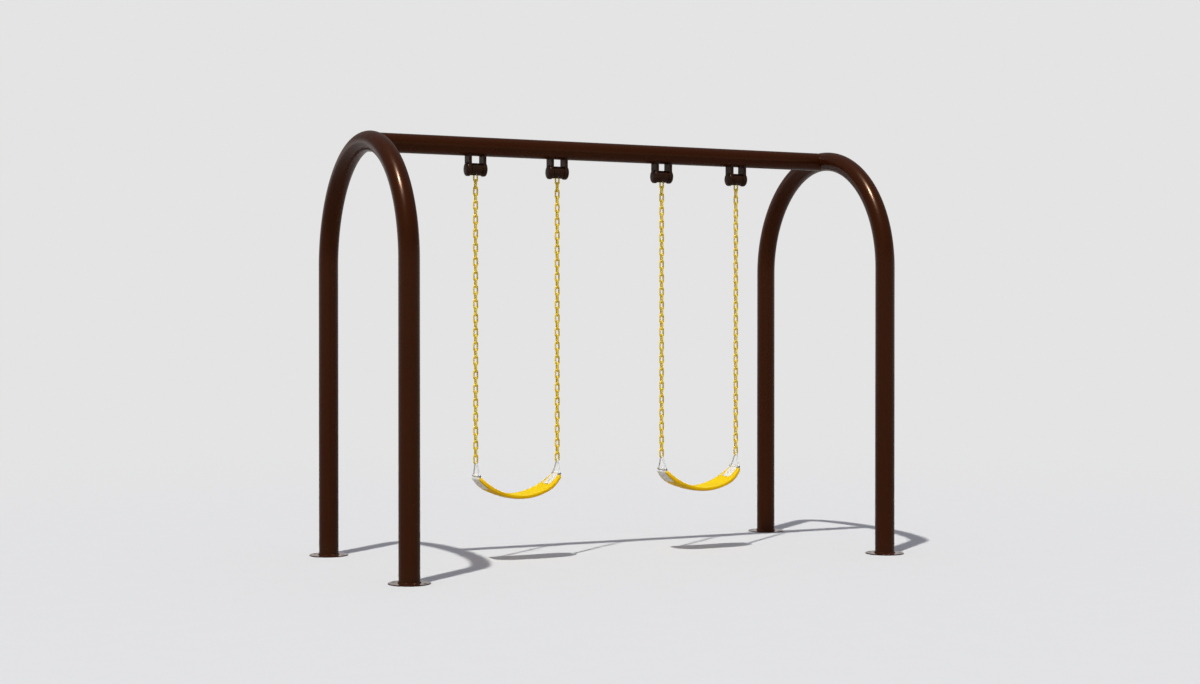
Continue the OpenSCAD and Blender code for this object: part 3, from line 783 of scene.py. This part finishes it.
def face_plates(swing):
    """Sheet plates on both faces of the belt's ends: the upper ones carry a knuckle for the bow's bolt."""
    place, edge = Arc(swing), 0.8 * MM
    (_, right_x), eye_z, _ = bolt_places(swing)
    eye_x = right_x - place.x
    half_t, start = END_PLATE_T / 2, BELT_END * BELT_R - END_PLATE_L
    upper, lower = Shape(), Shape()
    for side in (-1, 1):
        end = (math.atan2(eye_x, place.z - eye_z) - math.radians(1)) * BELT_R
        rings = []
        for s in eased_ends(start, end, 5 * MM, PLATE_CORNER):
            half_w = corner_half_width(s - start, UPPER_PLATE_W / 2)
            half_w -= (UPPER_PLATE_W - KNUCKLE_W) / 2 * smoothstep((s - end + 12 * MM) / (8 * MM))
            out = -(BELT_T / 2 + 0.05 * MM + half_t)
            rings.append(strip_ring(place, side * s / BELT_R, out, half_w, half_t, edge, None, 10))
        upper.loft(rings)
        half, outer, chamfer = KNUCKLE_W / 2, KNUCKLE_D / 2, 0.8 * MM
        sleeve = [(-half, BORE_R), (-half, outer - chamfer), (chamfer - half, outer)]
        sleeve += [(half - chamfer, outer), (half, outer - chamfer), (half, BORE_R)]
        upper.turn(Vector((place.x + side * eye_x, 0, eye_z)), Y, sleeve, 48, closed=True)
        end = BELT_END * BELT_R
        rings = []
        for s in eased_ends(start, end - 0.5 * MM, 5 * MM, PLATE_CORNER):
            half_w = corner_half_width(s - start, LOWER_PLATE_W / 2)
            out = BELT_T / 2 + 0.05 * MM + half_t
            rings.append(strip_ring(place, side * s / BELT_R, out, half_w, half_t, edge, None, 10))
        lower.loft(rings + folded_rings(place, side, LOWER_PLATE_W / 2, half_t * 0.96, edge))
    for shape, kind, node in ((upper, "upper", "_inner"), (lower, "lower", "_outer")):
        name, nodes = swing + "_" + kind + "_plates", swing + node + "_face_plates"
        shape.piece(name, ZINC_SHEET, swing + "_seat", "plate_metal", nodes)


def rivets(swing):
    """Two rivets at each end, with shallow domed heads on both plates."""
    place, shape = Arc(swing), Shape()
    stack, rim = BELT_T / 2 + END_PLATE_T + 0.1 * MM, 0.6 * MM
    profile = [(-2 * MM, RIVET_HEAD_R * 0.6), (0, RIVET_HEAD_R * 0.94), (0.4 * MM, RIVET_HEAD_R)]
    for k in range(1, 9):
        a = k / 8.5 * math.pi / 2
        profile.append((rim + (RIVET_HEAD_T - rim) * math.sin(a), RIVET_HEAD_R * math.cos(a) ** 0.8))
    for side in (-1, 1):
        for back in RIVETS:
            angle = side * (BELT_END - back)
            outward = (place.point(angle, 0.1, 0) - place.point(angle, 0, 0)).normalized()
            for way in (1, -1):
                shape.turn(place.point(angle, way * stack, 0), way * outward, profile, 40)
    shape.piece(swing + "_rivets", RIVET, swing + "_seat", "zinc_steel", swing + "_plate_rivets")


def bow(chain):
    """Rod bent round the last link, with a formed eye at the foot of each leg."""
    swing = chain.split("_")[0]
    eyes_x, eye_z, _ = bolt_places(swing)
    eye = Vector((eyes_x[chain_x[chain] > seat_x[swing]], 0, eye_z))
    hook = Vector((chain_x[chain], 0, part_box(chain + "_end_link")[0].z + wire_r))
    down = (eye - hook).normalized()
    depth, rod = (eye - hook).length, BOW_ROD / 2
    bend = wire_r + BOW_GAP + rod
    foot = UPPER_PLATE_W / 2 + 1.5 * MM + rod
    reach = math.hypot(foot, depth)
    lean = math.atan2(foot, depth) - math.asin(bend / reach)
    leg = math.sqrt(reach**2 - bend**2) - 6 * MM
    along, across = math.sin(lean), math.cos(lean)
    path = []
    for k in range(13):
        t = leg * (1 - k / 12)
        path.append((bend * across + t * along, -bend * along + t * across))
    for a in arc(28, lean, math.pi - lean)[1:-1]:
        path.append((bend * math.cos(a), -bend * math.sin(a)))
    path += [(-y, d) for y, d in reversed(path[:13])]
    shape = Shape()
    points = [hook + Y * y + down * d for y, d in path]
    flare = {0: 1.22, 1: 1.10, 2: 1.03}

    def radius(i):
        return rod * flare.get(min(i, len(points) - 1 - i), 1.0)

    shape.sweep(points, Y.cross(down).normalized(), radius, 20)
    outer, edge, inner = KNUCKLE_D / 2, 1.4 * MM, 0.4 * MM
    half = [(rod - inner, BORE_R), (rod, BORE_R + inner), (rod, outer - edge)]
    half += [(rod - 0.4 * edge, outer - 0.4 * edge), (rod - edge, outer)]
    profile = [(-h, r) for h, r in half] + half[::-1]
    for side in (-1, 1):
        shape.turn(eye + side * foot * Y, Y, profile, 48, closed=True)
    shape.piece(chain + "_bow_rod", WIRE, swing + "_seat", "bow_wire", chain + "_bow")


def bow_bolts(swing):
    """Long bolt through each knuckle, its head in front and its nut behind."""
    lo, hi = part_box(swing + "_bow_bolts")
    nut_lo, nut_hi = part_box(swing + "_bow_nuts")
    bolts_x, z, head_r = bolt_places(swing)
    front = -nut_lo.y
    bolts, nuts = Shape(), Shape()
    shank_r, socket = BOLT_D / 2 - 0.02 * MM, 2.6 * MM
    for x in bolts_x:
        button_head(bolts, Vector((x, front, z)), -Y, head_r, front - lo.y, socket)
        shank = [(-0.5 * MM, shank_r), (hi.y - front - 0.8 * MM, shank_r)]
        bolts.turn(Vector((x, front, z)), Y, shank + [(hi.y - front, BOLT_D / 2 - 0.8 * MM)])
        flat, thick = min((nut_hi.z - nut_lo.z) / 2, 6.5 * MM), nut_hi.y - nut_lo.y
        round_r = flat * 1.1
        bore, bevel = BOLT_D / 2 + 0.05 * MM, 0.9 * MM
        nut = [(0, bore), (0, round_r - bevel * 0.6, flat), (bevel * 0.6, flat * 1.16, flat)]
        nut += [(thick - bevel, flat * 1.16, flat), (thick, round_r - bevel * 0.9, flat), (thick, bore)]
        nuts.turn(Vector((x, nut_lo.y, z)), Y, nut, 72, closed=True)
    bolts.piece(swing + "_bow_button_bolts", BOLT, swing + "_seat", "dark_bolt", swing + "_bow_bolts")
    nuts.piece(swing + "_bow_hex_nuts", ZINC, swing + "_seat", "zinc_steel", swing + "_bow_nuts")


for swing in SWINGS:
    belt(swing)
    face_plates(swing)
    rivets(swing)
    bow_bolts(swing)
for chain in CHAINS:
    bow(chain)

# ---------- CAD nodes that keep their own mesh ----------

KEPT = {
    "_hanger": CAST,
    "_barrel": CAST,
    "_axle": STEEL,
    "_inner_rings": STEEL,
    "_axle_clips": BOLT,
    "_chain_pin": ZINC,
    "bearing_outer_rings": STEEL,
    "bearing_balls": STEEL,
    "beam_spigots": ZINC,
    "spigot_nuts": ZINC,
}
for name, node in frame["nodes"].items():
    for ending, material in KEPT.items():
        if name.endswith(ending):
            node.data.materials.clear()
            node.data.materials.append(material)

# ---------- floor, light and camera ----------

BACKGROUND = (0.775, 0.775, 0.775, 1)


def floor():
    """Pale floor that fades into the background away from the object, and throws back little light."""
    size = 60
    mesh = bpy.data.meshes.new("floor")
    mesh.from_pydata(
        [(-size, -size, 0), (size, -size, 0), (size, size, 0), (-size, size, 0)], [], [(0, 1, 2, 3)]
    )
    m = Material("studio_floor")
    away = m.node("ShaderNodeVectorMath", {0: m.place}, operation="LENGTH").outputs["Value"]
    pale = m.mix(m.noise(6, 3), rgb(0.79, 0.79, 0.785), rgb(0.81, 0.81, 0.805))
    seen = m.node("ShaderNodeLightPath").outputs["Is Camera Ray"]
    material = m.finish(Base_Color=m.mix(seen, rgb(0.46, 0.45, 0.43), pale), Roughness=0.9, IOR=1.1)
    glow = m.node("ShaderNodeEmission", {"Color": BACKGROUND, "Strength": 1.0}).outputs["Emission"]
    fade = m.math("MULTIPLY", seen, m.ranged(away, 4.5, 10.0))
    mixed = m.node("ShaderNodeMixShader", {0: fade, 1: m.shader.outputs["BSDF"], 2: glow})
    m.tree.links.new(mixed.outputs["Shader"], m.out.inputs["Surface"])
    mesh.materials.append(material)
    obj = bpy.data.objects.new("studio_floor", mesh)
    bpy.context.scene.collection.objects.link(obj)


def world():
    """Even background for the camera, a room brighter near the horizon, and a dimmer one in reflections."""
    made = bpy.data.worlds.new("studio")
    made.use_nodes = True
    tree = made.node_tree
    tree.nodes.clear()
    path = tree.nodes.new("ShaderNodeLightPath")
    way = tree.nodes.new("ShaderNodeSeparateXYZ")
    tree.links.new(tree.nodes.new("ShaderNodeTexCoord").outputs["Generated"], way.inputs[0])
    for colour, ray, top, at_horizon, overhead in (
        ((0.96, 0.975, 1.12, 1), None, 0.5, 0.86, 0.245),
        ((1.0, 0.96, 0.94, 1), "Is Glossy Ray", 0.25, 0.95, 0.21),
        (BACKGROUND, "Is Camera Ray", 1.0, 1.0, 1.0),
    ):
        light = tree.nodes.new("ShaderNodeBackground")
        light.inputs["Color"].default_value = colour
        fall = tree.nodes.new("ShaderNodeMapRange")
        for key, value in (("From Max", top), ("To Min", at_horizon), ("To Max", overhead)):
            fall.inputs[key].default_value = value
        tree.links.new(way.outputs["Z"], fall.inputs["Value"])
        tree.links.new(fall.outputs["Result"], light.inputs["Strength"])
        if ray is None:
            shown = light.outputs[0]
            continue
        mix = tree.nodes.new("ShaderNodeMixShader")
        tree.links.new(path.outputs[ray], mix.inputs[0])
        tree.links.new(shown, mix.inputs[1])
        tree.links.new(light.outputs[0], mix.inputs[2])
        shown = mix.outputs[0]
    out = tree.nodes.new("ShaderNodeOutputWorld")
    tree.links.new(shown, out.inputs["Surface"])
    bpy.context.scene.world = made


def sun(name, energy, glint_only):
    """Sun from the front left. The glint only brightens the highlights."""
    light = bpy.data.lights.new(name, "SUN")
    light.energy = energy
    light.color = (1.0, 0.995, 0.97)
    light.angle = math.radians(1.1)
    obj = bpy.data.objects.new(name, light)
    obj.rotation_euler = Vector((0.32, 0.25, -1.0)).to_track_quat("-Z", "Y").to_euler()
    obj.visible_diffuse = not glint_only
    bpy.context.scene.collection.objects.link(obj)


def camera():
    data = bpy.data.cameras.new("camera")
    data.lens = 56.2
    data.sensor_width = 36
    obj = bpy.data.objects.new("camera", data)
    obj.location = (-5.147, -10.3945, 1.4133)
    obj.rotation_euler = (math.radians(89.52), 0, math.radians(-26.10))
    bpy.context.scene.collection.objects.link(obj)
    bpy.context.scene.camera = obj


floor()
world()
sun("sun", 2.3, False)
sun("glint", 5.0, True)
camera()
bpy.context.scene.view_settings.view_transform = "Standard"
